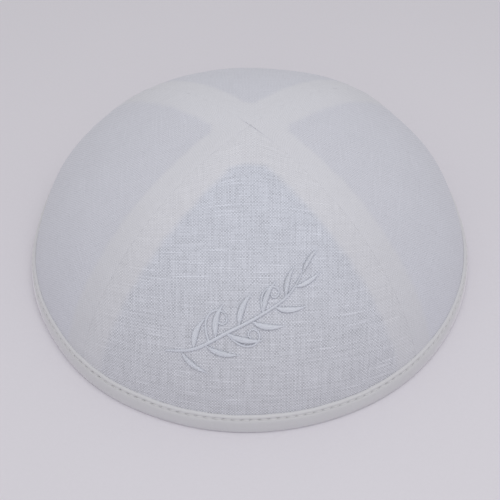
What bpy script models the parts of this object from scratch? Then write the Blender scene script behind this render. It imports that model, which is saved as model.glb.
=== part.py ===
"""A kippah skullcap of white linen: four curved panels sewn into a crown, and a binding round the rim.

Metres, +Z up. The cap stands on the floor at z = 0 with its axis on Z, and its front panel faces -Y.
Every piece is sized from the values below, so one of them can be changed by itself.
"""

import math

import bmesh
import bpy

# The outline
RIM_RADIUS = 0.0850  # outer face of the binding, at its widest
CAP_HEIGHT = 0.0646  # floor to the top of the crown

# The cloth
CLOTH_WALL = 0.0012  # linen and the backing fused to it
ALLOWANCE_WALL = 0.0009  # what a seam allowance adds, turned under the panel's edge
ALLOWANCE_WIDTH = 0.0090  # how far an allowance reaches from its seam
SEAM_GAP = 0.0003  # between neighbouring panels
TIP_CHAMFER = 0.0006  # cut off each panel's tip, where the seams meet

# The binding, folded over the lower edge of the panels
BINDING_WALL = 0.0010
BINDING_HEIGHT = 0.0080  # outer leg, from the floor
INNER_LEG_HEIGHT = 0.0078  # inner leg, from the floor
BINDING_CLEARANCE = 0.00035  # to the panels, on every side of the fold
EDGE_ROUNDING = 0.0003  # on every edge of the binding

# How a meridian bows between rim and crown top. With h and r the shares of the height and of
# the radius, h ** rise + r ** spread = 1. Between the two the exponents blend.
MERIDIANS = {
    "panel_middle": {"rise": 1.75, "spread": 1.83},
    "seam": {"rise": 1.64, "spread": 2.20},
}

# Panel names, with the bearing of each panel's middle, counterclockwise from the front
PANELS = {
    "panel_front": 0.0,
    "panel_right": 90.0,
    "panel_back": 180.0,
    "panel_left": 270.0,
}

# How finely the curved faces are divided
CROWN_ROWS = 12  # from the binding to the top
ALLOWANCE_COLUMNS = 2  # across one allowance
MIDDLE_COLUMNS = 16  # across a panel, between its allowances
BINDING_STEPS = 72  # round the rim
LEG_ROWS = 3  # up one leg of the binding
ALLOWANCE_RAMP = 0.0006  # over which the wall drops from an allowance to the bare cloth
MOST_ALLOWANCE = 0.72  # share of half a panel that an allowance may take, near the top
ROUNDING_SEGMENTS = 2
MERGE_DISTANCE = 0.00001
CREASE_ANGLE = math.radians(30)  # shading breaks at edges sharper than this
CORNER_ANGLE = math.radians(40)  # the binding is rounded at edges sharper than this

# Each slot's colour, roughness and metallic value
LINEN = ((0.76, 0.77, 0.82, 1.0), 0.85, 0.0)
BINDING = ((0.74, 0.73, 0.76, 1.0), 0.55, 0.0)

FULL_TURN = 2.0 * math.pi
QUARTER = FULL_TURN / len(PANELS)
HALF_PANEL = QUARTER / 2
EDGE_HEIGHT = BINDING_WALL + BINDING_CLEARANCE  # the panels' lower edge
CROWN_RADIUS = RIM_RADIUS - BINDING_WALL - BINDING_CLEARANCE  # the panels' outer face there
CROWN_RISE = CAP_HEIGHT - EDGE_HEIGHT


def crown_radius(height, bearing):
    """Radius of the panels' outer face at a height over the floor, on a bearing in radians."""
    across = (bearing / QUARTER + 0.5) % 1.0 - 0.5
    seam_share = (2.0 * across) ** 2
    middle, seam = MERIDIANS["panel_middle"], MERIDIANS["seam"]
    rise = middle["rise"] + (seam["rise"] - middle["rise"]) * seam_share
    spread = middle["spread"] + (seam["spread"] - middle["spread"]) * seam_share
    climbed = min(max((height - EDGE_HEIGHT) / CROWN_RISE, 0.0), 1.0)
    return CROWN_RADIUS * (1.0 - climbed**rise) ** (1.0 / spread)


def crown_heights():
    """Height of each row of the crown below its top, and whether the allowances reach it."""
    trimmed = INNER_LEG_HEIGHT + BINDING_CLEARANCE
    full = trimmed + ALLOWANCE_RAMP
    rows = [(EDGE_HEIGHT, False), (trimmed, False), (full, True)]
    start = math.asin((full - EDGE_HEIGHT) / CROWN_RISE)
    for row in range(1, CROWN_ROWS):
        angle = start + (QUARTER - start) * row / CROWN_ROWS
        rows.append((EDGE_HEIGHT + CROWN_RISE * math.sin(angle), True))
    return rows


def half_panel_shares(height):
    """Column places from a panel's seam to its middle, as shares of that way, each with its
    thickness: 1 on the allowance and 0 on the bare cloth. The allowances meet near the top."""
    half_arc = crown_radius(height, HALF_PANEL) * HALF_PANEL
    wanted = ALLOWANCE_WIDTH / half_arc
    fold = min(wanted, MOST_ALLOWANCE)
    bare = 1.0 if wanted > MOST_ALLOWANCE else 0.0
    ramp = min(ALLOWANCE_RAMP / half_arc, (1.0 - fold) / 2)
    shares = [(fold * column / ALLOWANCE_COLUMNS, 1.0) for column in range(ALLOWANCE_COLUMNS + 1)]
    steps = MIDDLE_COLUMNS // 2
    for column in range(steps + 1):
        shares.append((fold + ramp + (1.0 - fold - ramp) * column / steps, bare))
    return shares


def row_of_bearings(height):
    """Bearings right round the crown at one height, each with its thickness."""
    half = half_panel_shares(height)
    bearings = []
    for panel in range(len(PANELS)):
        seam = panel * QUARTER + HALF_PANEL
        for share, thick in half:
            bearings.append((seam + share * HALF_PANEL, thick))
        for share, thick in reversed(half[1:-1]):
            bearings.append((seam + QUARTER - share * HALF_PANEL, thick))
    return bearings


def new_object(name, mesh, collection, look=None):
    """An object in a collection, with a material of its own when a look is given."""
    thing = bpy.data.objects.new(name, mesh)
    collection.objects.link(thing)
    if look is not None:
        colour, roughness, metallic = look
        material = bpy.data.materials.new(name)
        material.use_nodes = True
        shader = material.node_tree.nodes["Principled BSDF"]
        shader.inputs["Base Color"].default_value = colour
        shader.inputs["Roughness"].default_value = roughness
        shader.inputs["Metallic"].default_value = metallic
        mesh.materials.append(material)
    return thing


def crown_surface(name):
    """The outer face of the whole crown, as an open surface of rings joined to the top point."""
    shape = bmesh.new()
    thickness = shape.verts.layers.deform.verify()
    rings = []
    for height, reached in crown_heights():
        ring = []
        for bearing, thick in row_of_bearings(height):
            radius = crown_radius(height, bearing)
            place = (radius * math.sin(bearing), -radius * math.cos(bearing), height)
            corner = shape.verts.new(place)
            if reached and thick:
                corner[thickness][0] = thick
            ring.append(corner)
        rings.append(ring)
    top = shape.verts.new((0.0, 0.0, CAP_HEIGHT))
    top[thickness][0] = 1.0
    for lower, upper in zip(rings, rings[1:]):
        for here in range(len(lower)):
            there = (here + 1) % len(lower)
            shape.faces.new((lower[here], lower[there], upper[there], upper[here]))
    for here in range(len(rings[-1])):
        shape.faces.new((rings[-1][here], rings[-1][(here + 1) % len(rings[-1])], top))
    mesh = bpy.data.meshes.new(name)
    shape.to_mesh(mesh)
    shape.free()
    return mesh


def panel_wedge(name, bearing, collection):
    """A block that takes in one panel's quarter. Its two sides run along the panel's seams, half
    a seam gap inside them, and the corner between them, beside the cap's axis, is cut off."""
    reach = 2.0 * RIM_RADIUS
    shape = bmesh.new()
    bmesh.ops.create_cube(shape, size=1.0)
    bmesh.ops.translate(shape, verts=shape.verts, vec=(0.5, 0.5, 0.5))
    bmesh.ops.scale(shape, verts=shape.verts, vec=(reach, reach, 3.0 * CAP_HEIGHT))
    corner = [edge for edge in shape.edges if not any(end.co.x or end.co.y for end in edge.verts)]
    bmesh.ops.bevel(shape, geom=corner, offset=TIP_CHAMFER, segments=1, affect="EDGES")
    bmesh.ops.translate(shape, verts=shape.verts, vec=(SEAM_GAP / 2, SEAM_GAP / 2, -CAP_HEIGHT))
    mesh = bpy.data.meshes.new(name)
    shape.to_mesh(mesh)
    shape.free()
    wedge = new_object(name, mesh, collection)
    wedge.rotation_euler.z = bearing - QUARTER - HALF_PANEL
    wedge.hide_render = True
    wedge.display_type = "WIRE"
    return wedge


def add_panel(name, bearing, pieces, cutters):
    """One panel: the crown's wall, thicker along the seams, cut to the panel's quarter."""
    panel = new_object(name, crown_surface(name), pieces, LINEN)
    group = panel.vertex_groups.new(name="seam_allowance")
    wall = panel.modifiers.new("cloth", "SOLIDIFY")
    wall.thickness = CLOTH_WALL + ALLOWANCE_WALL
    wall.offset = -1.0
    wall.vertex_group = group.name
    wall.thickness_vertex_group = CLOTH_WALL / (CLOTH_WALL + ALLOWANCE_WALL)
    cut = panel.modifiers.new("seams", "BOOLEAN")
    cut.operation = "INTERSECT"
    cut.solver = "EXACT"
    cut.object = panel_wedge(name + "_wedge", bearing, cutters)
    panel.data.shade_smooth()
    panel.data.set_sharp_from_angle(angle=CREASE_ANGLE)
    return panel


def leg_points(offset, low, high):
    """Points up one face of the binding, each a radius and a height. The face keeps an offset
    from the panels' outer face, taken halfway between a panel's middle and its seam."""
    points = []
    for row in range(LEG_ROWS + 1):
        height = low + (high - low) * row / LEG_ROWS
        points.append((crown_radius(height, HALF_PANEL / 2) + offset, height))
    return points


def add_binding(name, pieces):
    """The binding: a fold of trim with the panels' edge between its legs, turned about Z."""
    outer = BINDING_CLEARANCE + BINDING_WALL
    inner = -CLOTH_WALL - BINDING_CLEARANCE
    outside = leg_points(outer, 0.0, BINDING_HEIGHT)
    inside = leg_points(inner - BINDING_WALL, 0.0, INNER_LEG_HEIGHT)
    slot_inside = leg_points(inner, BINDING_WALL, INNER_LEG_HEIGHT)
    slot_outside = leg_points(BINDING_CLEARANCE, BINDING_WALL, BINDING_HEIGHT)
    outline = outside[::-1] + inside + slot_inside[::-1] + slot_outside
    mesh = bpy.data.meshes.new(name)
    corners = [(radius, 0.0, height) for radius, height in outline]
    edges = [(here, (here + 1) % len(corners)) for here in range(len(corners))]
    mesh.from_pydata(corners, edges, [])
    binding = new_object(name, mesh, pieces, BINDING)
    turn = binding.modifiers.new("turn", "SCREW")
    turn.axis = "Z"
    turn.angle = FULL_TURN
    turn.steps = BINDING_STEPS
    turn.render_steps = BINDING_STEPS
    turn.use_merge_vertices = True
    turn.merge_threshold = MERGE_DISTANCE
    turn.use_smooth_shade = True
    rounding = binding.modifiers.new("rounding", "BEVEL")
    rounding.width = EDGE_ROUNDING
    rounding.segments = ROUNDING_SEGMENTS
    rounding.limit_method = "ANGLE"
    rounding.angle_limit = CORNER_ANGLE
    return binding


def main():
    """Clear the scene, then make the panels and the binding."""
    for thing in list(bpy.data.objects):
        bpy.data.objects.remove(thing, do_unlink=True)
    pieces = bpy.data.collections.new("kippah")
    cutters = bpy.data.collections.new("cutters")
    bpy.context.scene.collection.children.link(pieces)
    bpy.context.scene.collection.children.link(cutters)
    for name, bearing in PANELS.items():
        add_panel(name, math.radians(bearing), pieces, cutters)
    add_binding("rim_binding", pieces)


main()
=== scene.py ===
"""Dresses a linen kippah: four sewn panels, a bound and topstitched rim, and an embroidered sprig.

Metres, +Z up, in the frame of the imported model. Bearings turn counterclockwise from the front, -Y.
"""

import math
from collections import namedtuple

import bpy
import numpy as np
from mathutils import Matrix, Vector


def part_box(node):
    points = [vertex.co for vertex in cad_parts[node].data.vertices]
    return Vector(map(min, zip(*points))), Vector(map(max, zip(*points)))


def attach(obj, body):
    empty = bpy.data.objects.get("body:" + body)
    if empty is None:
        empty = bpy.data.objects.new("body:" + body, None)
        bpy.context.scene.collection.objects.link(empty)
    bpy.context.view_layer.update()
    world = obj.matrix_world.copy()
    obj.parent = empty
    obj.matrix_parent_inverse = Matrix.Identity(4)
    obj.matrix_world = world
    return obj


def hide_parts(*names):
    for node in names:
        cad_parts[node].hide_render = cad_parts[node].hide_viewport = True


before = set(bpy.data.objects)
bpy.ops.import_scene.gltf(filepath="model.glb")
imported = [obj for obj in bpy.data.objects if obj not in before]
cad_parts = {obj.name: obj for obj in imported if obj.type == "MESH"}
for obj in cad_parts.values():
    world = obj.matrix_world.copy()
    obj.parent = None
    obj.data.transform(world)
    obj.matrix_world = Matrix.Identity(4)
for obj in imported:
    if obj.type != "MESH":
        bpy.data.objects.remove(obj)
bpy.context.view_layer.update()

bl_info = {
    "name": "Linen Kippah",
    "version": (1, 0, 0),
    "blender": (4, 5, 0),
    "location": "3D View > Sidebar > Kippah",
    "description": "Sews a linen kippah from four panels, binds its rim and embroiders its front",
    "category": "Add Mesh",
}

FULL_TURN = 2.0 * math.pi
QUARTER = FULL_TURN / 4
HALF_PANEL = FULL_TURN / 8
MM = 0.001

# Each panel's middle bearing, how deep its weave stands (the front one was pressed the least), and
# how far down from the top of the crown its tip is doubled right across
PANELS = {
    "panel_front": {"bearing": 0.0, "weave_depth": 1.15, "doubled_tip": 17.5 * MM},
    "panel_right": {"bearing": 90.0, "weave_depth": 0.6, "doubled_tip": 14.0 * MM},
    "panel_back": {"bearing": 180.0, "weave_depth": 0.6, "doubled_tip": 14.0 * MM},
    "panel_left": {"bearing": 270.0, "weave_depth": 0.6, "doubled_tip": 14.0 * MM},
}

# How far steam has bent the threads low on a panel from straight, 0, to level round the cap, 1
STEAMED = 0.5

# How far each seam stands open at the top of the crown and how far down, by the seam's bearing
SEAM_OPENINGS = {
    45.0: {"width": 0.50 * MM, "reach": 5.5 * MM},
    135.0: {"width": 0.0, "reach": 1.0 * MM},
    225.0: {"width": 0.60 * MM, "reach": 2.6 * MM},
    315.0: {"width": 0.0, "reach": 1.0 * MM},
}

# Where the cap is a little out of round: middle and reach in degrees, and how far it stands out
Swell = namedtuple("Swell", "bearing climb turn_reach climb_reach rise")
SWELLS = (
    Swell(315.0, 0.0, 30.0, 35.0, 0.8 * MM),
    Swell(327.0, 0.0, 9.0, 22.0, 0.5 * MM),
    Swell(264.0, 5.0, 9.0, 22.0, -0.7 * MM),
    Swell(245.0, 12.0, 12.0, 22.0, 0.8 * MM),
    Swell(220.0, 25.0, 10.0, 22.0, -1.0 * MM),
    Swell(200.0, 35.0, 12.0, 22.0, -0.4 * MM),
    Swell(170.0, 45.0, 20.0, 22.0, -0.4 * MM),
    Swell(146.0, 28.0, 14.0, 22.0, 0.6 * MM),
    Swell(134.0, 22.0, 9.0, 22.0, 0.4 * MM),
    Swell(115.0, 12.0, 12.0, 22.0, 1.3 * MM),
    Swell(96.0, 5.0, 9.0, 22.0, -0.4 * MM),
)

# How a meridian bows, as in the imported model. With h and r the shares of the height and of the
# radius, h ** rise + r ** spread = 1. Between the two the exponents blend.
MERIDIANS = {
    "panel_middle": {"rise": 1.75, "spread": 1.83},
    "seam": {"rise": 1.64, "spread": 2.20},
}

BINDING_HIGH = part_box("rim_binding")[1]
CROWN_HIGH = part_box("panel_front")[1]


def length_property(name, description, default):
    """A length in metres."""
    return bpy.props.FloatProperty(name=name, description=description, default=default, unit="LENGTH")


def colour_property(name, description, default):
    """A colour without alpha."""
    return bpy.props.FloatVectorProperty(
        name=name, description=description, default=default, subtype="COLOR", size=3
    )


class KippahShape(bpy.types.PropertyGroup):
    """Sizes of the cloth and the binding."""

    rim_radius: length_property("Rim Radius", "Outer face of the binding", BINDING_HIGH.x)
    cap_height: length_property("Height", "Floor to the top of the crown", CROWN_HIGH.z)
    cloth_wall: length_property("Cloth Wall", "Linen with its fused backing", 1.2 * MM)
    allowance_wall: length_property("Allowance Wall", "What a turned seam allowance adds", 0.9 * MM)
    allowance_width: length_property("Allowance Width", "Reach of an allowance from its seam", 9.0 * MM)
    binding_wall: length_property("Binding Wall", "Thickness of the trim", 1.0 * MM)
    binding_clearance: length_property("Binding Clearance", "Trim to cloth in the model", 0.35 * MM)
    binding_height: length_property("Binding Height", "Floor to the outer leg's top", BINDING_HIGH.z)
    seam_roll: length_property("Seam Roll", "How far the cloth dips into a seam", 0.10 * MM)
    seam_pucker: length_property("Seam Pucker", "Ripples that the sewing leaves", 0.06 * MM)
    unevenness: length_property("Unevenness", "Broad, gentle swells of the cloth", 0.18 * MM)


class KippahThread(bpy.types.PropertyGroup):
    """Sizes of the topstitching and of the embroidery."""

    stitch_pitch: length_property("Stitch Pitch", "From one needle hole to the next", 3.2 * MM)
    stitch_drop: length_property("Stitch Drop", "Down from the binding's top edge", 1.3 * MM)
    stitch_radius: length_property("Stitch Radius", "Half the sewing thread", 0.17 * MM)
    silk_radius: length_property("Silk Radius", "Half the embroidery thread", 0.15 * MM)
    silk_pitch: length_property("Silk Pitch", "Between neighbouring satin stitches", 0.27 * MM)
    sprig_across: length_property("Sprig Across", "Sprig's middle from the panel's", -2.7 * MM)
    sprig_along: length_property("Sprig Along", "Sprig's middle up from the rim", 42.0 * MM)


class KippahColours(bpy.types.PropertyGroup):
    """Colours of the cloth, the trim and the threads."""

    linen: colour_property("Linen", "Front panel", (0.66, 0.68, 0.765))
    # Darker and greyer than the linen: painted shade of the front panel near the rim
    shaded_rim_linen: colour_property("Rim Linen", "Front panel near the rim", (0.639, 0.643, 0.702))
    pressed_linen: colour_property("Pressed Linen", "Other panels", (0.666, 0.671, 0.745))
    # Paler than the linen: painted for the shaded inside that shows less through the doubled cloth
    allowance: colour_property("Allowance", "Cloth over an allowance", (0.715, 0.715, 0.770))
    trim: colour_property("Trim", "Binding", (0.680, 0.676, 0.703))
    thread: colour_property("Thread", "Topstitches", (0.74, 0.735, 0.75))
    silk: colour_property("Silk", "Embroidery", (0.77, 0.79, 0.87))


class KippahStage(bpy.types.PropertyGroup):
    """The floor, the light and the camera."""

    floor_colour: colour_property("Floor", "Floor", (0.774, 0.749, 0.806))
    sky_strength: bpy.props.FloatProperty(
        name="Sky", description="Even light from all round", default=0.60, min=0.0
    )
    lamp_power: bpy.props.FloatProperty(
        name="Lamp", description="Soft lamp overhead", default=1.06, min=0.0, subtype="POWER"
    )
    camera_distance: length_property("Camera Distance", "From the aim to the camera", 0.425)
    camera_elevation: bpy.props.FloatProperty(
        name="Camera Elevation", description="Over the floor", default=math.radians(48.97), subtype="ANGLE"
    )
    camera_lens: bpy.props.FloatProperty(
        name="Lens", description="On a 36 mm sensor", default=77.48, unit="CAMERA"
    )
    aim_forward: length_property("Aim", "Where the camera looks, along Y", -1.63 * MM)


# Surfaces


def rounded_step(value, start, end):
    """0 before start, 1 after end, and a smooth rise between them."""
    share = np.clip((value - start) / (end - start), 0.0, 1.0)
    return share * share * (3.0 - 2.0 * share)


def bell(distance, reach):
    """1 at no distance, and next to nothing at twice the reach."""
    return np.exp(-((distance / reach) ** 2))


def around_axis(radius, bearing, height):
    """Points at a radius from the cap's axis, on a bearing and at a height."""
    return np.stack([radius * np.sin(bearing), -radius * np.cos(bearing), height], -1)


def turned_from(bearing, other):
    """The angle from one bearing to another, between minus and plus half a turn."""
    return (bearing - other + FULL_TURN / 2) % FULL_TURN - FULL_TURN / 2


# How finely the way up a panel's middle is measured, and the step over which a slope is taken
ARC_STEPS = 721
SLOPE_STEP = 0.002


class Crown:
    """The outer face of the panels, over climb and bearing. Climb is 0 at the panels' lower edge
    and a quarter turn at the top."""

    def __init__(self, shape):
        self.edge_height = shape.binding_wall + shape.binding_clearance
        self.edge_radius = shape.rim_radius - shape.binding_wall - shape.binding_clearance
        self.rise = shape.cap_height - self.edge_height
        self.unevenness = shape.unevenness
        steps = np.linspace(0.0, QUARTER, ARC_STEPS)
        heights = self.height(steps)
        radii = self.radius(heights, 0.0)
        self.climb_steps = steps
        self.arc_steps = np.concatenate([[0.0], np.cumsum(np.hypot(np.diff(heights), np.diff(radii)))])

    def height(self, climb):
        return self.edge_height + self.rise * np.sin(climb)

    def radius(self, height, bearing):
        across = (bearing / QUARTER + 0.5) % 1.0 - 0.5
        seam_share = (2.0 * across) ** 2
        middle, seam = MERIDIANS["panel_middle"], MERIDIANS["seam"]
        rise = middle["rise"] + (seam["rise"] - middle["rise"]) * seam_share
        spread = middle["spread"] + (seam["spread"] - middle["spread"]) * seam_share
        climbed = np.clip((height - self.edge_height) / self.rise, 0.0, 1.0)
        return self.edge_radius * (1.0 - climbed**rise) ** (1.0 / spread)

    def arc(self, climb):
        """Length from the lower edge up a panel's middle."""
        return np.interp(climb, self.climb_steps, self.arc_steps)

    def climb_at(self, arc):
        return np.interp(arc, self.arc_steps, self.climb_steps)

    def swell(self, climb, bearing):
        """How far the cloth stands out of the regular form: the listed swells and a gentle roll."""
        total = 0.0
        for spot in SWELLS:
            turned = turned_from(bearing, math.radians(spot.bearing)) / math.radians(spot.turn_reach)
            climbed = (climb - math.radians(spot.climb)) / math.radians(spot.climb_reach)
            total = total + spot.rise * np.exp(-(turned**2) - climbed**2)
        east = np.cos(climb) * np.sin(bearing)
        north = np.cos(climb) * np.cos(bearing)
        roll = np.sin(7.1 * east + 2.0) * np.cos(6.3 * north) + 0.6 * np.sin(11.0 * north + 9.0 * east)
        return total + self.unevenness * roll

    def smooth_point(self, climb, bearing):
        """A point of the regular form, without its swells."""
        height = self.height(climb)
        radius = self.radius(height, bearing)
        return around_axis(radius, bearing, height + 0.0 * bearing)

    def normal(self, climb, bearing):
        after = self.smooth_point(climb, bearing + SLOPE_STEP)
        before = self.smooth_point(climb, bearing - SLOPE_STEP)
        above = self.smooth_point(climb + SLOPE_STEP, bearing)
        below = self.smooth_point(climb - SLOPE_STEP, bearing)
        outward = np.cross(after - before, above - below)
        return outward / np.linalg.norm(outward, axis=-1, keepdims=True)

    def point(self, climb, bearing, lift):
        """A point of the cloth, lifted off its face."""
        away = self.swell(climb, bearing) + lift
        return self.smooth_point(climb, bearing) + self.normal(climb, bearing) * away[..., None]

    def rim_point(self, height, bearing, offset):
        """A point of the binding, at an offset outward from the panels' outer face."""
        climb = np.arcsin(np.clip((height - self.edge_height) / self.rise, 0.0, 1.0))
        radius = self.radius(height, bearing) + offset + self.swell(climb, bearing)
        return around_axis(radius, bearing, height)


# Meshes


def grid_quads(rows, columns, first=0):
    """Corner numbers of the quads of a grid, facing the way that rows cross columns."""
    corner = first + np.arange(rows * columns).reshape(rows, columns)
    quads = np.stack([corner[:-1, :-1], corner[:-1, 1:], corner[1:, 1:], corner[1:, :-1]], -1)
    return quads.reshape(-1, 4)


def shell_faces(rows, columns):
    """Faces of a closed shell whose outer grid comes first, and then its inner grid."""
    outer = np.arange(rows * columns).reshape(rows, columns)
    inner = outer + rows * columns
    faces = [grid_quads(rows, columns), grid_quads(rows, columns, rows * columns)[:, ::-1]]
    edges = (
        (outer[0], inner[0], 1),
        (outer[-1], inner[-1], -1),
        (outer[:, 0], inner[:, 0], -1),
        (outer[:, -1], inner[:, -1], 1),
    )
    for above, below, way in edges:
        wall = np.stack([above[1:], above[:-1], below[:-1], below[1:]], -1)
        faces.append(wall[:, ::way])
    return np.concatenate(faces).tolist()


def new_piece(name, corners, faces, material, fields):
    """A smooth mesh object with vector fields on its points, which its material reads."""
    mesh = bpy.data.meshes.new(name)
    mesh.from_pydata(corners.reshape(-1, 3).tolist(), [], faces)
    for field, values in fields.items():
        layer = mesh.attributes.new(field, "FLOAT_VECTOR", "POINT")
        layer.data.foreach_set("vector", values.astype(np.float32).ravel())
    mesh.materials.append(material)
    mesh.shade_smooth()
    piece = bpy.data.objects.new(name, mesh)
    bpy.context.scene.collection.objects.link(piece)
    return piece


def tube_mesh(lines, upward, radii, sides):
    """Corners, faces and fields of closed tubes, one along each line. The field "strand" holds
    the length along the tube, the share of the way round it, and the tube's own number."""
    count, rings = lines.shape[:2]
    along = np.gradient(lines, axis=1)
    along /= np.linalg.norm(along, axis=-1, keepdims=True)
    across = np.cross(along, upward)
    across /= np.linalg.norm(across, axis=-1, keepdims=True)
    up = np.cross(across, along)
    angle = np.arange(sides) * FULL_TURN / sides
    spokes = np.cos(angle)[:, None] * across[:, :, None] + np.sin(angle)[:, None] * up[:, :, None]
    corners = lines[:, :, None] + radii[:, :, None, None] * spokes
    number = np.arange(count * rings * sides).reshape(count, rings, sides)
    after = np.roll(number, -1, axis=2)
    sides_of = np.stack([number[:, :-1], number[:, 1:], after[:, 1:], after[:, :-1]], -1)
    faces = sides_of.reshape(-1, 4).tolist() + number[:, 0].tolist() + number[:, -1, ::-1].tolist()
    steps = np.linalg.norm(np.diff(lines, axis=1), axis=-1)
    length = np.concatenate([np.zeros((count, 1)), np.cumsum(steps, axis=1)], axis=1)
    parts = (length[:, :, None], angle / FULL_TURN, np.arange(count)[:, None, None])
    strand = np.stack([np.broadcast_to(part, number.shape) for part in parts], -1)
    return corners, faces, {"strand": strand}


# Materials


# Noise: patches to a metre of the first and of the second length that it is given, a seed, and
# how many finer layers it has
Grain = namedtuple("Grain", "first second seed detail")
GRAINS = {
    "wander_x": Grain(90.0, 25.0, 3.0, 2.0),
    "wander_y": Grain(25.0, 90.0, 7.0, 2.0),
    "weft_yarn": Grain(75.0, 1500.0, 1.0, 3.0),
    "warp_yarn": Grain(1500.0, 75.0, 5.0, 3.0),
    "slubs": Grain(70.0, 1300.0, 11.0, 1.0),
    "crimp": Grain(650.0, 650.0, 13.0, 1.0),
    "ragged_edge": Grain(120.0, 120.0, 2.0, 2.0),
    "linen_mottle": Grain(45.0, 45.0, 9.0, 4.0),
    "pebbles": Grain(1400.0, 1400.0, 0.0, 3.0),
    "creases": Grain(420.0, 110.0, 4.0, 2.0),
    "trim_mottle": Grain(60.0, 200.0, 8.0, 3.0),
    "floor_grain": Grain(900.0, 900.0, 0.0, 2.0),
    "floor_clouds": Grain(9.0, 9.0, 3.0, 2.0),
}

# The threads of the linen, and how far they wander from straight
WARP_PITCH = 0.54 * MM
WEFT_PITCH = 0.57 * MM
WANDER = 0.35 * MM

# What each part of the weave adds to the height and, counted from its middle, to the colour. The colour of
# the crossings and of the threads is painted light on their crests and painted shade in the gaps; that of
# the yarn and the slubs is their own. Some parts grow with the depth of a panel's weave.
WEAVE = {
    "crossings": {"height": 0.040 * MM, "middle": 0.0, "tone_and_painted_shade": 0.17, "grows": False},
    "threads": {"height": 0.030 * MM, "middle": 1.27, "tone_and_painted_shade": 0.12, "grows": False},
    "yarn": {"height": 0.090 * MM, "middle": 1.0, "tone_and_painted_shade": 0.27, "grows": True},
    "slubs": {"height": 0.040 * MM, "middle": 0.0, "tone_and_painted_shade": 0.12, "grows": True},
}

# Where the cloth over the allowances, painted paler, begins and is whole, inward from its edge
FADES = {
    "strip": {"begins": -2.4 * MM, "whole": 1.0 * MM},
    "tip": {"begins": -0.4 * MM, "whole": 2.4 * MM},
}
RAGGED = 1.6 * MM  # how far that edge strays


class Recipe:
    """One material and short ways to add nodes to it."""

    def __init__(self, name):
        self.material = bpy.data.materials.new(name)
        self.material.use_nodes = True
        self.tree = self.material.node_tree
        self.shader = self.tree.nodes["Principled BSDF"]

    def feed(self, socket, value):
        if isinstance(value, bpy.types.NodeSocket):
            self.tree.links.new(value, socket)
        else:
            socket.default_value = value

    def node(self, kind, feeds, **settings):
        made = self.tree.nodes.new(kind)
        for setting, value in settings.items():
            setattr(made, setting, value)
        for place, value in feeds.items():
            self.feed(made.inputs[place], value)
        return made

    def field(self, name):
        """The three parts of a vector field of the mesh."""
        read = self.node("ShaderNodeAttribute", {}, attribute_name=name)
        parts = self.node("ShaderNodeSeparateXYZ", {0: read.outputs["Vector"]})
        return parts.outputs[0], parts.outputs[1], parts.outputs[2]

    def math(self, operation, *values):
        return self.node("ShaderNodeMath", dict(enumerate(values)), operation=operation).outputs[0]

    def step(self, value, start, end, low=0.0, high=1.0):
        """A smooth rise from low at start to high at end."""
        feeds = {"Value": value, "From Min": start, "From Max": end, "To Min": low, "To Max": high}
        return self.node("ShaderNodeMapRange", feeds, interpolation_type="SMOOTHSTEP").outputs[0]

    def noise(self, x, y, z, detail=2.0):
        place = self.node("ShaderNodeCombineXYZ", {0: x, 1: y, 2: z}).outputs[0]
        made = self.node("ShaderNodeTexNoise", {"Vector": place, "Scale": 1.0, "Detail": detail})
        return made.outputs["Fac"]

    def grain(self, name, first, second):
        """The noise that the table of grains holds under a name, over two lengths."""
        grain = GRAINS[name]
        x = self.math("MULTIPLY", first, grain.first)
        y = self.math("MULTIPLY", second, grain.second)
        return self.noise(x, y, grain.seed, grain.detail)

    def shifted(self, base, value, middle, amount):
        """A base plus an amount for each unit that a value lies over its middle."""
        return self.math("MULTIPLY_ADD", self.math("SUBTRACT", value, middle), amount, base)

    def blend(self, share, first, second):
        made = self.tree.nodes.new("ShaderNodeMix")
        made.data_type = "RGBA"
        for place, value in ((0, share), (6, first), (7, second)):
            self.feed(made.inputs[place], value)
        return made.outputs[2]

    def brightened(self, colour, factor):
        """A colour times a factor."""
        scaled = self.node("ShaderNodeVectorMath", {0: colour, "Scale": factor}, operation="SCALE")
        return scaled.outputs[0]

    def finish(self, colour, height, roughness, constants):
        """Feed the shader: a colour, a height in metres, a roughness, and plain values by socket."""
        bump = self.node("ShaderNodeBump", {"Strength": 1.0, "Distance": 1.0, "Height": height})
        self.feed(self.shader.inputs["Base Color"], colour)
        self.feed(self.shader.inputs["Roughness"], roughness)
        self.feed(self.shader.inputs["Normal"], bump.outputs[0])
        for socket, value in constants.items():
            self.shader.inputs[socket].default_value = value
        return self.material


def opaque(colour):
    return (*colour, 1.0)


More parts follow.
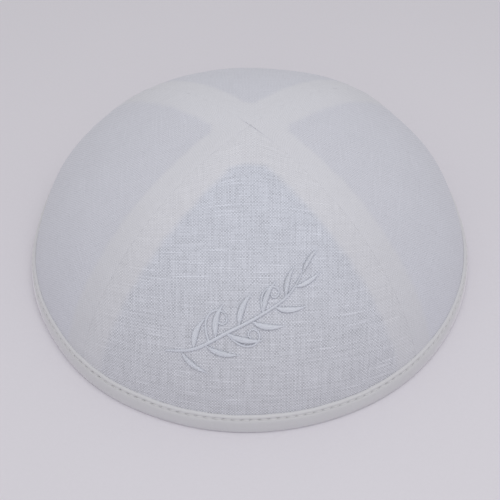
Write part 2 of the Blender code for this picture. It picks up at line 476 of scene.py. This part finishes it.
def linen_material(name, colours, shape, panel, doubled_from):
    """Plain-woven linen. Its field "grain" holds the place across and up the cut cloth and the
    distance to the nearest seam, in metres. It is painted paler where it lies over a seam allowance,
    for the shaded inside that shows less through the doubled cloth, and less so towards the rim,
    a painted shade. The front panel is painted darker and greyer towards the rim, also as shade."""
    upper, lower = colours.pressed_linen, colours.pressed_linen
    if panel == PANELS["panel_front"]:
        upper, lower = colours.linen, colours.shaded_rim_linen
    weave_depth = panel["weave_depth"]
    recipe = Recipe(name)
    across, along, seam = recipe.field("grain")

    # Two sets of threads, which wander a little from straight
    x = recipe.shifted(across, recipe.grain("wander_x", across, along), 0.5, 2.0 * WANDER)
    y = recipe.shifted(along, recipe.grain("wander_y", across, along), 0.5, 2.0 * WANDER)
    warp = recipe.math("SINE", recipe.math("MULTIPLY", x, math.pi / WARP_PITCH))
    weft = recipe.math("SINE", recipe.math("MULTIPLY", y, math.pi / WEFT_PITCH))
    threads = recipe.math("ADD", recipe.math("ABSOLUTE", warp), recipe.math("ABSOLUTE", weft))

    # Crossings stand out more in some places than in others
    crimp = recipe.step(recipe.grain("crimp", across, along), 0.3, 0.7, 0.1, 2.0)
    crossings = recipe.math("MULTIPLY", recipe.math("MULTIPLY", warp, weft), crimp)

    # Uneven yarn: streaks a thread wide and a few millimetres to a few centimetres long
    yarn = recipe.math("ADD", recipe.grain("weft_yarn", x, y), recipe.grain("warp_yarn", x, y))
    slubs = recipe.step(recipe.grain("slubs", x, y), 0.60, 0.72)

    # Crossings lighter and gaps between threads darker: painted light and shade of the weave's relief,
    # beside the yarn's own tone
    parts = {"crossings": crossings, "threads": threads, "yarn": yarn, "slubs": slubs}
    relief = 0.0
    tone_and_painted_shade = 0.0
    for part, value in parts.items():
        share = WEAVE[part]
        growth = weave_depth if share["grows"] else 1.0
        relief = recipe.math("MULTIPLY_ADD", value, share["height"] * growth, relief)
        tone_and_painted_shade = recipe.shifted(tone_and_painted_shade, value, share["middle"], share["tone_and_painted_shade"] * growth)

    # Over the allowances the cloth is painted paler, for the shaded inside that shows less through the
    # doubled cloth, and its weave lies flatter
    ragged = recipe.math("MULTIPLY", recipe.grain("ragged_edge", across, along), RAGGED)
    reach = shape.allowance_width
    strip, tip = FADES["strip"], FADES["tip"]
    from_seam = recipe.math("ADD", seam, ragged)
    from_rim = recipe.math("ADD", along, ragged)
    strips = recipe.step(from_seam, reach - strip["begins"], reach - strip["whole"])
    tips = recipe.step(from_rim, doubled_from + tip["begins"], doubled_from + tip["whole"])
    doubled = recipe.math("MAXIMUM", strips, tips)
    depth = recipe.step(doubled, 0.0, 1.0, weave_depth, 0.15 + 0.35 * weave_depth)
    # The front panel darkens and greys towards the rim: painted shade
    linen = recipe.blend(recipe.step(along, 0.0, 90.0 * MM), opaque(lower), opaque(upper))
    colour = recipe.blend(doubled, linen, opaque(colours.allowance))

    mottle = recipe.grain("linen_mottle", across, along)
    shade = recipe.math("MULTIPLY_ADD", tone_and_painted_shade, depth, 1.0)
    shade = recipe.shifted(shade, mottle, 0.5, 0.05)
    # The pale allowances darken towards the rim: painted shade
    painted_rim_shade = recipe.step(along, 20.0 * MM, 100.0 * MM, -0.07, 0.0)
    shade = recipe.math("MULTIPLY_ADD", doubled, painted_rim_shade, shade)
    height = recipe.math("MULTIPLY", relief, depth)
    roughness = recipe.math("MULTIPLY_ADD", mottle, 0.12, 0.80)
    sheen = {"Sheen Weight": 0.2, "Sheen Roughness": 0.5}
    return recipe.finish(recipe.brightened(colour, shade), height, roughness, sheen)


def trim_material(name, colours):
    """Smooth trim with a fine pebble grain, its needle holes painted darker as shade. Its field "trim"
    holds the length round the rim, the length across the strip, and how far a spot lies in a needle hole."""
    recipe = Recipe(name)
    around, across, hole = recipe.field("trim")
    pebbles = recipe.grain("pebbles", around, across)
    creases = recipe.grain("creases", around, across)
    mottle = recipe.grain("trim_mottle", around, across)
    relief = recipe.math("MULTIPLY_ADD", creases, 1.5, pebbles)
    height = recipe.math("MULTIPLY", relief, 0.035 * MM)
    shade = recipe.shifted(1.0, mottle, 0.5, 0.06)
    shade = recipe.shifted(shade, pebbles, 0.5, 0.05)
    # Needle holes painted darker: painted shade in the holes
    shade = recipe.math("MULTIPLY_ADD", hole, -0.40, shade)
    roughness = recipe.math("MULTIPLY_ADD", mottle, 0.2, 0.45)
    colour = recipe.brightened(tuple(colours.trim), shade)
    satin = {
        "Specular IOR Level": 0.6,
        "Sheen Weight": 1.0,
        "Sheen Roughness": 0.3,
        "Sheen Tint": (0.98, 0.94, 1.0, 1.0),
    }
    return recipe.finish(colour, height, roughness, satin)


def thread_material(name, colour, twist_pitch):
    """Twisted thread. Its field "strand" holds the length along it, the share round it, and the
    strand's number."""
    recipe = Recipe(name)
    along, around, number = recipe.field("strand")
    twice_round = recipe.math("MULTIPLY", around, 2.0)
    turns = recipe.math("MULTIPLY_ADD", along, 1.0 / twist_pitch, twice_round)
    ply = recipe.math("SINE", recipe.math("MULTIPLY", turns, FULL_TURN))
    finer_turns = recipe.math("MULTIPLY", turns, 4.0)
    fibres = recipe.noise(finer_turns, recipe.math("MULTIPLY", around, 9.0), number)
    relief = recipe.math("MULTIPLY_ADD", fibres, 0.6, ply)
    height = recipe.math("MULTIPLY", relief, 0.02 * MM)
    lot = recipe.noise(recipe.math("MULTIPLY", number, 0.37), 0.0, 0.0, 1.0)
    shade = recipe.shifted(1.0, lot, 0.5, 0.12)
    # Lighter on the plies' crests and darker in the grooves between them: painted light and shade
    shade = recipe.math("MULTIPLY_ADD", ply, 0.025, shade)
    roughness = recipe.math("MULTIPLY_ADD", fibres, 0.2, 0.36)
    sheen = {"Sheen Weight": 0.3, "Sheen Roughness": 0.35}
    return recipe.finish(recipe.brightened(tuple(colour), shade), height, roughness, sheen)


def floor_material(stage):
    """Pale, matt and faintly uneven."""
    recipe = Recipe("pale_floor")
    read = recipe.node("ShaderNodeTexCoord", {})
    parts = recipe.node("ShaderNodeSeparateXYZ", {0: read.outputs["Object"]})
    grain = recipe.grain("floor_grain", parts.outputs[0], parts.outputs[1])
    clouds = recipe.grain("floor_clouds", parts.outputs[0], parts.outputs[1])
    shade = recipe.shifted(1.0, clouds, 0.5, 0.03)
    shade = recipe.shifted(shade, grain, 0.5, 0.03)
    colour = recipe.brightened(tuple(stage.floor_colour), shade)
    return recipe.finish(colour, recipe.math("MULTIPLY", grain, 0.02 * MM), 0.9, {})


# Panels


# How finely a panel is divided
COLUMNS = 91  # from either seam to its middle
ROWS = 131  # from its lower edge to the top
CROWDING = 1.5  # how much the columns crowd towards the seams
TOP_CLIMB = math.radians(89.95)  # just short of the top, where the columns would meet

# Half a closed seam, and the least share of its width that a panel keeps beside an open one
CLOSED_SEAM = 0.01 * MM
LEAST_KEPT = 0.02

# How the outer face stands beside a seam: the pillow over an allowance and the fade of its edge,
# the roll into the seam, a soft ridge beside it, and the sewing's ripples
PILLOW = {"height": 0.12 * MM, "inside": 0.4 * MM, "outside": 0.9 * MM}
ROLL_REACH = 0.7 * MM
RIDGE = {"height": 0.08 * MM, "from_seam": 2.4 * MM, "reach": 1.6 * MM}
RIPPLES = {"pitch": 6.5 * MM, "sway": 0.7, "sway_pitch": 9.0 * MM, "reach": 4.0 * MM}

# The raw edge of an allowance inside: how far it strays, how long its waves are, how fast it ends
RAW_EDGE = {"strays": 0.35 * MM, "pitch": 5.0 * MM, "ends": 0.6 * MM}


def seam_opening(radius, bearing):
    """Half the gap in a seam: next to nothing, but for the open stretch beside the top."""
    opening = SEAM_OPENINGS[round(math.degrees(bearing)) % 360.0]
    return CLOSED_SEAM + 0.5 * opening["width"] * bell(radius, opening["reach"])


def sewn_lift(shape, edge, middle, side, radius, seam, up):
    """How far the outer face stands over the regular form, from the sewing. The edge is how far up
    the cloth the binding ends."""
    clear = rounded_step(up, edge - 1.0 * MM, edge + 1.5 * MM)
    tip = rounded_step(radius, 1.0 * MM, 6.0 * MM)
    width = shape.allowance_width
    doubled = 1.0 - rounded_step(seam, width - PILLOW["inside"], width + PILLOW["outside"])
    wave = up / RIPPLES["pitch"] + side
    wave = wave + RIPPLES["sway"] * np.sin(up / RIPPLES["sway_pitch"] + middle)
    ripples = np.sin(FULL_TURN * wave) * np.exp(-seam / RIPPLES["reach"])
    lift = PILLOW["height"] * doubled * clear
    lift = lift - shape.seam_roll * np.exp(-seam / ROLL_REACH) * (0.35 + 0.65 * tip)
    lift = lift + RIDGE["height"] * bell(seam - RIDGE["from_seam"], RIDGE["reach"]) * clear
    return lift + shape.seam_pucker * ripples * clear * tip


def wall_thickness(shape, edge, middle, seam, up):
    """The cloth with its backing, and with the allowance where that lies under it."""
    raw_edge = RAW_EDGE["strays"] * np.sin(up / RAW_EDGE["pitch"] + 2.0 * middle)
    raw_edge = raw_edge + shape.allowance_width
    turned_in = 1.0 - rounded_step(seam, raw_edge, raw_edge + RAW_EDGE["ends"])
    clear = rounded_step(up, edge, edge + 0.8 * MM)
    return shape.cloth_wall + shape.allowance_wall * turned_in * clear


def cloth_grain(crown, turn, radius, seam, up):
    """The field that the linen reads: the place across and up the cut cloth, where the threads
    run straight but for the steam, and the distance to the nearest seam."""
    to_tip = np.maximum(crown.arc(QUARTER) - up, 0.01 * MM)
    swing = turn * radius / to_tip
    straight = 1.0 - STEAMED * rounded_step(to_tip, 10.0 * MM, 80.0 * MM)
    droop = straight * to_tip * (1.0 - np.cos(swing))
    return np.stack([to_tip * np.sin(swing), up + droop, seam], -1)


def panel_piece(name, crown, shape, colours):
    """One panel as a closed shell, with the flat size and area of its cloth."""
    middle = math.radians(PANELS[name]["bearing"])
    half = np.linspace(0.0, 1.0, COLUMNS) ** CROWDING
    from_seam = np.concatenate([half, half[-2::-1]])
    side = np.concatenate([-np.ones(COLUMNS), np.ones(COLUMNS - 1)])
    climb = np.linspace(0.0, TOP_CLIMB, ROWS)[:, None]
    height = crown.height(climb)
    seam_radius = crown.radius(height, HALF_PANEL)
    before = seam_opening(seam_radius, middle - HALF_PANEL)
    after = seam_opening(seam_radius, middle + HALF_PANEL)
    gaps = np.where(side < 0, before, after)
    kept = np.clip(1.0 - gaps / (HALF_PANEL * seam_radius), LEAST_KEPT, 1.0)
    turn = HALF_PANEL * (1.0 - from_seam) * side * kept
    bearing = middle + turn
    radius = crown.radius(height, bearing)
    seam = (HALF_PANEL - np.abs(turn)) * radius
    up = crown.arc(climb) + 0.0 * turn

    edge = shape.binding_height - crown.edge_height
    outer = crown.point(climb, bearing, sewn_lift(shape, edge, middle, side, radius, seam, up))
    inner = crown.point(climb, bearing, -wall_thickness(shape, edge, middle, seam, up))
    corners = np.stack([outer, inner])
    grain = cloth_grain(crown, turn, radius, seam, up)
    fields = {"grain": np.stack([grain, grain])}
    doubled_from = float(up.max()) - PANELS[name]["doubled_tip"]
    material = linen_material(name + "_linen", colours, shape, PANELS[name], doubled_from)
    piece = new_piece(name + "_cloth", corners, shell_faces(*turn.shape), material, fields)
    rightward = outer[:-1, 1:] - outer[:-1, :-1]
    upward = outer[1:, :-1] - outer[:-1, :-1]
    face = np.linalg.norm(np.cross(upward, rightward), axis=-1)
    allowances = 2.0 * shape.allowance_width * float(up.max())
    width = 2.0 * (HALF_PANEL * crown.edge_radius + shape.allowance_width)
    length = float(up.max()) + shape.allowance_width
    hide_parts(name)
    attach(piece, "root")
    return piece, (width, length), float(face.sum()) + allowances


# Binding


# The trim in section
SLACK = 0.02 * MM  # to the cloth on both sides
CORNER = {"radius": 0.45 * MM, "points": 6}  # where both legs end, and the fold inside
CLOTH_EDGE = {"radius": 0.10 * MM, "points": 4}  # where a leg's end touches the cloth
FOOT = {"radius": 0.80 * MM, "points": 8}  # the fold outside, which the cap stands on
SKIVED = 0.30 * MM  # how much thinner the outer leg is at its end
SKIVED_OVER = 2.5 * MM  # the stretch over which it thins
PLAIN_POINTS = 8  # up a leg, below its stitches
STITCHED_POINTS = 10  # from there to its end
STITCHED_FROM = 1.0 * MM  # below the stitches

# How the stitches shape the trim: depths, and reaches up and down and along the row
PUFF = 0.12 * MM
GROOVE = {"depth": 0.20 * MM, "reach": 0.45 * MM}
HOLE = {"depth": 0.30 * MM, "reach": 0.26 * MM, "along": 0.60 * MM}
DRAWN = {"depth": 0.05 * MM, "reach": 1.2 * MM}
STEPS_TO_STITCH = 8

# Waves of the binding's upper edges: how many go round the rim, how high, where they start
EDGE_WAVES = (
    {"count": 9.0, "height": 0.10 * MM, "start": 1.0},
    {"count": 23.0, "height": 0.07 * MM, "start": 0.0},
    {"count": 57.0, "height": 0.05 * MM, "start": 2.0},
)

# A topstitch: rings and sides of its tube, how far its ends turn up or down, and how it strays
STITCH_RINGS = 11
STITCH_SIDES = 8
STITCH_LEAN = 0.06 * MM
STITCH_STRAYS = (
    {"reach": 0.05 * MM, "step": 2.4},
    {"reach": 0.04 * MM, "step": 0.31},
)


def arc_points(middle, corner, start, end):
    """Points on the arc that rounds a corner, as offsets and heights, between two angles."""
    points = []
    for turn in np.radians(np.linspace(start, end, corner["points"])):
        offset = middle[0] + corner["radius"] * math.cos(turn)
        height = middle[1] + corner["radius"] * math.sin(turn)
        points.append((offset, height))
    return points


def leg_heights(low, stitches, high):
    """Heights up one face of a leg, close together from a little under its stitches."""
    fine_from = stitches - STITCHED_FROM
    plain = np.linspace(low, fine_from, PLAIN_POINTS)[1:-1]
    return np.concatenate([plain, np.linspace(fine_from, high, STITCHED_POINTS)[:-1]])


def binding_outline(shape, stitches):
    """The folded trim in section, as offsets from the panels' outer face and heights: up the
    outer leg, down into the fold, up the inner leg's near side, and down its far side."""
    corner, edge, foot = CORNER["radius"], CLOTH_EDGE["radius"], FOOT["radius"]
    high = shape.binding_height
    below = high - corner
    outer = shape.binding_wall + shape.binding_clearance
    inner = -shape.cloth_wall - outer
    near = -shape.cloth_wall - SLACK
    slot = np.linspace(shape.binding_wall, below, 4)
    points = arc_points((outer - foot, foot), FOOT, -90.0, 0.0)
    for low in leg_heights(foot, stitches, below):
        points.append((outer - SKIVED * rounded_step(low, high - SKIVED_OVER, high), low))
    points += arc_points((outer - SKIVED - corner, below), CORNER, 0.0, 90.0)
    points += arc_points((SLACK + edge, high - edge), CLOTH_EDGE, 90.0, 180.0)
    points += [(SLACK, low) for low in slot[-2::-1]]
    points += [(near, low) for low in slot]
    points += arc_points((near - edge, high - edge), CLOTH_EDGE, 0.0, 90.0)
    points += arc_points((inner + corner, below), CORNER, 90.0, 180.0)
    points += [(inner, low) for low in leg_heights(corner, stitches, below)[::-1]]
    points += arc_points((inner + corner, corner), CORNER, 180.0, 270.0)
    return np.array(points)


def binding_face(shape, threads, bearing, height, outward):
    """How far a face of the binding stands from its plain section: puffed between its edges, drawn
    in along the stitches and most of all at the needle holes. Also where those holes are."""
    stitches = bearing * shape.rim_radius / threads.stitch_pitch
    to_hole = np.abs((stitches + 0.5) % 1.0 - 0.5) * threads.stitch_pitch
    stitch_height = shape.binding_height - threads.stitch_drop
    row = height - stitch_height
    puff = PUFF * np.sin(math.pi * np.clip(height / stitch_height, 0.0, 1.0))
    groove = GROOVE["depth"] * bell(row, GROOVE["reach"])
    hole = bell(row, HOLE["reach"]) * bell(to_hole, HOLE["along"])
    drawn = DRAWN["depth"] * np.cos(FULL_TURN * stitches) * np.exp(-np.abs(row) / DRAWN["reach"])
    return outward * (puff - groove - HOLE["depth"] * hole - drawn), hole * np.abs(outward)


def stitch_count(shape, threads):
    return round(FULL_TURN * shape.rim_radius / threads.stitch_pitch)


def binding_piece(crown, shape, threads, colours):
    """The folded trim, turned round the rim."""
    outline = binding_outline(shape, shape.binding_height - threads.stitch_drop)
    steps = STEPS_TO_STITCH * stitch_count(shape, threads)
    bearing = (np.arange(steps) * FULL_TURN / steps)[:, None]
    offset, height = outline[:, 0], outline[:, 1]
    on_outer = offset > 0.5 * MM
    on_inner = offset < -shape.cloth_wall - 0.5 * MM
    leg = np.where(on_outer, 1.0, np.where(on_inner, -1.0, 0.0))
    proud, hole = binding_face(shape, threads, bearing, height, leg)
    waves = 0.0
    for wave in EDGE_WAVES:
        waves = waves + wave["height"] * np.sin(wave["count"] * bearing + wave["start"])
    raised = height + waves * rounded_step(height, 1.0 * MM, shape.binding_height)
    corners = crown.rim_point(raised, bearing + 0.0 * height, offset + proud)
    rows, columns = corners.shape[:2]
    number = np.arange(rows * columns).reshape(rows, columns)
    after = np.roll(number, -1, axis=0)
    faces = np.stack([number, after, np.roll(after, -1, axis=1), np.roll(number, -1, axis=1)], -1)
    around = bearing * shape.rim_radius + 0.0 * height
    run = np.concatenate([[0.0], np.cumsum(np.hypot(np.diff(offset), np.diff(height)))])
    fields = {"trim": np.stack([around, run + 0.0 * bearing, hole], -1)}
    material = trim_material("binding_trim", colours)
    quads = faces.reshape(-1, 4).tolist()
    piece = new_piece("rim_binding_trim", corners, quads, material, fields)
    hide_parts("rim_binding")
    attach(piece, "root")
    return piece


def topstitch_piece(name, crown, shape, threads, material, outward):
    """A row of lockstitches, each dipping into a needle hole at both of its ends."""
    count = stitch_count(shape, threads)
    share = np.linspace(0.0, 1.0, STITCH_RINGS)
    bow = np.sin(math.pi * share)
    start = np.arange(count)[:, None]
    bearing = (start + share) * FULL_TURN / count
    face = shape.binding_wall + shape.binding_clearance
    if outward < 0:
        face = -shape.cloth_wall - face
    arch = threads.stitch_radius * (2.5 * bow**0.5 - 2.0)
    offset = face + outward * (arch - 0.5 * SKIVED - GROOVE["depth"])
    strays = sum(stray["reach"] * np.sin(start * stray["step"]) for stray in STITCH_STRAYS)
    height = shape.binding_height - threads.stitch_drop + strays + STITCH_LEAN * (share - 0.5)
    lines = crown.rim_point(height, bearing, offset + 0.0 * start)
    upward = around_axis(outward, bearing, 0.0 * bearing)
    radii = threads.stitch_radius * (0.75 + 0.25 * bow) + 0.0 * bearing
    corners, faces, fields = tube_mesh(lines, upward, radii, STITCH_SIDES)
    piece = new_piece(name, corners, faces, material, fields)
    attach(piece, "root")
    return piece


# Embroidery


# The sprig's stem on the flat cloth, and how many leaves grow from it, the last one at its end
STEM_POINTS = ((-26.0, -15.0), (-16.0, -12.0), (-5.0, -5.0), (6.0, 1.0), (15.0, 6.5), (20.0, 13.0))
STEM = np.array(STEM_POINTS) * MM
LEAVES = 12
STEM_WIDTH = {"ends": 0.32 * MM, "swell": 0.33 * MM}  # half of it

# Where the first leaf grows, how far leaves lean from the stem at its foot and how much less at its
# end, and the size of the largest
FIRST_LEAF = 0.10
LEAN, LEAN_LOST = math.radians(50.0), math.radians(16.0)
LEAF_LENGTH = 12.0 * MM
LEAF_WIDTH = 2.1 * MM

# A leaf's bow, in shares of its length: points along it and how far each lies to the outside
LEAF_BOW = ((0.04, 0.0), (0.35, 0.07), (0.70, 0.06), (1.0, -0.02))

# How a satin stitch slants across its column, how it bulges, and its sides and rings as a tube
SLANT = 0.6
BULGE = {"least": 0.05 * MM, "share": 0.7, "most": 0.55 * MM}
SILK_SIDES = 5
SILK_RINGS = 6

# Tendrils: where on the stem they start, which way they set out in degrees and which way they curl
TENDRILS = (
    {"at": 0.30, "heading": 112.0, "way": -1.0, "length": 30.0 * MM},
    {"at": 0.43, "heading": -50.0, "way": 1.0, "length": 28.0 * MM},
    {"at": 0.68, "heading": 108.0, "way": -1.0, "length": 24.0 * MM},
)
CURL_STEPS = 14
TENDRIL_WIDTHS = (0.45 * MM, 0.30 * MM)  # half of it, at the root and at the end
TENDRIL_SLANT = 0.5


def curve_through(points, pitch):
    """A smooth line through a few points, divided evenly, with its unit tangents."""
    knots = np.array(points, float)
    padded = np.concatenate([2 * knots[:1] - knots[1:2], knots, 2 * knots[-1:] - knots[-2:-1]])
    share = np.linspace(0.0, 1.0, 40, endpoint=False)[:, None]
    pieces = []
    for a, b, c, d in zip(padded, padded[1:], padded[2:], padded[3:]):
        bend = 2.0 * b + (c - a) * share + (2 * a - 5 * b + 4 * c - d) * share**2
        pieces.append(0.5 * (bend + (3 * b - a - 3 * c + d) * share**3))
    line = np.concatenate(pieces + [knots[-1:]])
    run = np.concatenate([[0.0], np.cumsum(np.linalg.norm(np.diff(line, axis=0), axis=1))])
    even = np.linspace(0.0, run[-1], max(3, round(run[-1] / pitch) + 1))
    line = np.stack([np.interp(even, run, line[:, 0]), np.interp(even, run, line[:, 1])], -1)
    tangent = np.gradient(line, axis=0)
    return line, tangent / np.linalg.norm(tangent, axis=1, keepdims=True)


def spiral(root, tendril):
    """Points of a tendril that leaves the stem at its root and curls up on itself."""
    angle = math.radians(tendril["heading"])
    points = [np.array(root)]
    for step in range(CURL_STEPS):
        angle += tendril["way"] * math.radians(3.0 + 3.6 * step)
        reach = tendril["length"] / CURL_STEPS * (1.0 - 0.035 * step)
        points.append(points[-1] + reach * np.array([math.cos(angle), math.sin(angle)]))
    return points


def satin_column(line, tangent, half_width, slant):
    """Stitches that lie side by side across a line, each from one edge to the other."""
    normal = np.stack([-tangent[:, 1], tangent[:, 0]], -1)
    share = np.linspace(-1.0, 1.0, SILK_RINGS)[:, None]
    reach = half_width[:, None, None]
    place = line[:, None] + reach * share * (normal[:, None] + slant * tangent[:, None])
    bulge = BULGE["share"] * reach[..., 0] * np.sqrt(np.clip(1.0 - share[:, 0] ** 2, 0.0, 1.0))
    return place, np.minimum(BULGE["least"] + bulge, BULGE["most"])


def satin_leaf(base, direction, side, length, width, pitch):
    """A slender pointed leaf that bows away from the stem."""
    heading = np.array([math.cos(direction), math.sin(direction)])
    outward = side * np.array([-heading[1], heading[0]])
    ribs = [base + length * (part * heading + bow * outward) for part, bow in LEAF_BOW]
    line, tangent = curve_through(ribs, pitch)
    share = np.linspace(0.0, 1.0, len(line))
    half = 0.12 * MM + 0.5 * width * np.sin(math.pi * share**0.8) ** 1.2
    return satin_column(line, tangent, half, SLANT)


def sprig_stitches(pitch):
    """Every stitch of the sprig, as places on the flat cloth and lifts off it. Places are metres
    from the sprig's middle: a bowed stem with slender leaves on both sides and curled tendrils."""
    stem, heading = curve_through(STEM, pitch)
    share = np.linspace(0.0, 1.0, len(stem))
    half = STEM_WIDTH["ends"] + STEM_WIDTH["swell"] * np.sin(math.pi * share)
    groups = [satin_column(stem, heading, half, SLANT)]
    for leaf in range(LEAVES):
        at = FIRST_LEAF + (1.0 - FIRST_LEAF) * leaf / (LEAVES - 1)
        spot = round(at * (len(stem) - 1))
        side = 1.0 if leaf % 2 else -1.0
        size = 0.72 + 0.28 * math.sin(math.pi * (0.15 + 0.8 * at))
        lean = side * (LEAN - LEAN_LOST * at) if leaf < LEAVES - 1 else 0.0
        direction = math.atan2(heading[spot, 1], heading[spot, 0]) + lean
        length, width = LEAF_LENGTH * size, LEAF_WIDTH * size
        groups.append(satin_leaf(stem[spot], direction, side, length, width, pitch))
    for tendril in TENDRILS:
        root = stem[round(tendril["at"] * (len(stem) - 1))]
        curl, curl_heading = curve_through(spiral(root, tendril), pitch)
        fine = np.linspace(*TENDRIL_WIDTHS, len(curl))
        groups.append(satin_column(curl, curl_heading, fine, TENDRIL_SLANT))
    places = np.concatenate([place for place, lift in groups])
    lifts = np.concatenate([lift + np.zeros(place.shape[:2]) for place, lift in groups])
    return places, lifts


def sprig_piece(crown, threads, material):
    """The sprig's stitches as joined tubes, laid on the front panel."""
    places, lifts = sprig_stitches(threads.silk_pitch)
    climb = crown.climb_at(threads.sprig_along + places[..., 1])
    bearing = (threads.sprig_across + places[..., 0]) / crown.radius(crown.height(climb), 0.0)
    lines = crown.point(climb, bearing, lifts)
    share = np.linspace(-1.0, 1.0, lines.shape[1])
    radii = threads.silk_radius * (1.0 - 0.35 * share**4) + np.zeros(lines.shape[:2])
    corners, faces, fields = tube_mesh(lines, crown.normal(climb, bearing), radii, SILK_SIDES)
    piece = new_piece("embroidered_sprig", corners, faces, material, fields)
    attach(piece, "root")
    return piece


# Operators


FLOOR_SIZE = 12.0
LAMP_SIZE = 0.5
LAMP_PLACE = (0.06, -0.20, 0.61)
LAMP_TILT = (math.radians(-18.0), math.radians(5.6), 0.0)
SENSOR_WIDTH = 36.0  # millimetres
THREAD_TWIST = 0.55 * MM
SILK_TWIST = 0.9 * MM


class KIPPAH_OT_set_stage(bpy.types.Operator):
    """Lay the floor, hang the light and set up the camera"""

    bl_idname = "kippah.set_stage"
    bl_label = "Set Stage"

    def execute(self, context):
        stage = context.scene.kippah_stage
        bpy.ops.mesh.primitive_plane_add(size=FLOOR_SIZE)
        floor = context.active_object
        floor.name = "floor"
        floor.data.materials.append(floor_material(stage))

        world = bpy.data.worlds.new("even_sky")
        world.use_nodes = True
        sky = world.node_tree.nodes["Background"]
        sky.inputs["Color"].default_value = (1.0, 1.0, 1.0, 1.0)
        sky.inputs["Strength"].default_value = stage.sky_strength
        context.scene.world = world

        lamp = bpy.data.lights.new("overhead_lamp", "AREA")
        lamp.shape = "DISK"
        lamp.size = LAMP_SIZE
        lamp.energy = stage.lamp_power
        hung = bpy.data.objects.new("overhead_lamp", lamp)
        hung.location = LAMP_PLACE
        hung.rotation_euler = LAMP_TILT
        context.collection.objects.link(hung)

        camera = bpy.data.cameras.new("camera")
        camera.sensor_width = SENSOR_WIDTH
        camera.lens = stage.camera_lens
        eye = bpy.data.objects.new("camera", camera)
        forward = -stage.camera_distance * math.cos(stage.camera_elevation)
        height = stage.camera_distance * math.sin(stage.camera_elevation)
        eye.location = (0.0, stage.aim_forward + forward, height)
        eye.rotation_euler = (QUARTER - stage.camera_elevation, 0.0, 0.0)
        context.collection.objects.link(eye)
        context.scene.camera = eye
        context.scene.view_settings.view_transform = "Standard"
        return {"FINISHED"}


class KIPPAH_OT_sew_panels(bpy.types.Operator):
    """Cut and sew the four linen panels"""

    bl_idname = "kippah.sew_panels"
    bl_label = "Sew Panels"

    def execute(self, context):
        shape = context.scene.kippah_shape
        crown = Crown(shape)
        for name in PANELS:
            piece, flat, area = panel_piece(name, crown, shape, context.scene.kippah_colours)
        return {"FINISHED"}


class KIPPAH_OT_bind_rim(bpy.types.Operator):
    """Fold the trim over the rim"""

    bl_idname = "kippah.bind_rim"
    bl_label = "Bind Rim"

    def execute(self, context):
        scene = context.scene
        shape = scene.kippah_shape
        binding_piece(Crown(shape), shape, scene.kippah_thread, scene.kippah_colours)
        return {"FINISHED"}


class KIPPAH_OT_topstitch(bpy.types.Operator):
    """Topstitch the binding, outside and inside"""

    bl_idname = "kippah.topstitch"
    bl_label = "Topstitch"

    def execute(self, context):
        scene = context.scene
        shape = scene.kippah_shape
        crown = Crown(shape)
        material = thread_material("sewing_thread", scene.kippah_colours.thread, THREAD_TWIST)
        for name, outward in (("topstitches_outside", 1.0), ("topstitches_inside", -1.0)):
            topstitch_piece(name, crown, shape, scene.kippah_thread, material, outward)
        return {"FINISHED"}


class KIPPAH_OT_embroider(bpy.types.Operator):
    """Embroider a sprig on the front panel"""

    bl_idname = "kippah.embroider"
    bl_label = "Embroider"

    def execute(self, context):
        scene = context.scene
        material = thread_material("embroidery_silk", scene.kippah_colours.silk, SILK_TWIST)
        sprig_piece(Crown(scene.kippah_shape), scene.kippah_thread, material)
        return {"FINISHED"}


class KIPPAH_PT_sidebar(bpy.types.Panel):
    """Sizes, colours and steps of the kippah"""

    bl_label = "Kippah"
    bl_idname = "KIPPAH_PT_sidebar"
    bl_space_type = "VIEW_3D"
    bl_region_type = "UI"
    bl_category = "Kippah"

    def draw(self, context):
        for operator in OPERATORS:
            self.layout.operator(operator.bl_idname)
        for group in GROUPS:
            values = getattr(context.scene, group)
            box = self.layout.box()
            for value in values.bl_rna.properties.keys():
                if value not in ("rna_type", "name"):
                    box.prop(values, value)


GROUPS = {
    "kippah_shape": KippahShape,
    "kippah_thread": KippahThread,
    "kippah_colours": KippahColours,
    "kippah_stage": KippahStage,
}
OPERATORS = (
    KIPPAH_OT_set_stage,
    KIPPAH_OT_sew_panels,
    KIPPAH_OT_bind_rim,
    KIPPAH_OT_topstitch,
    KIPPAH_OT_embroider,
)


def register():
    for group, kind in GROUPS.items():
        bpy.utils.register_class(kind)
        setattr(bpy.types.Scene, group, bpy.props.PointerProperty(type=kind))
    for operator in OPERATORS:
        bpy.utils.register_class(operator)
    bpy.utils.register_class(KIPPAH_PT_sidebar)


def unregister():
    bpy.utils.unregister_class(KIPPAH_PT_sidebar)
    for operator in reversed(OPERATORS):
        bpy.utils.unregister_class(operator)
    for group, kind in GROUPS.items():
        delattr(bpy.types.Scene, group)
        bpy.utils.unregister_class(kind)


def main():
    register()
    bpy.ops.kippah.set_stage()
    bpy.ops.kippah.sew_panels()
    bpy.ops.kippah.bind_rim()
    bpy.ops.kippah.topstitch()
    bpy.ops.kippah.embroider()


if __name__ == "__main__":
    main()
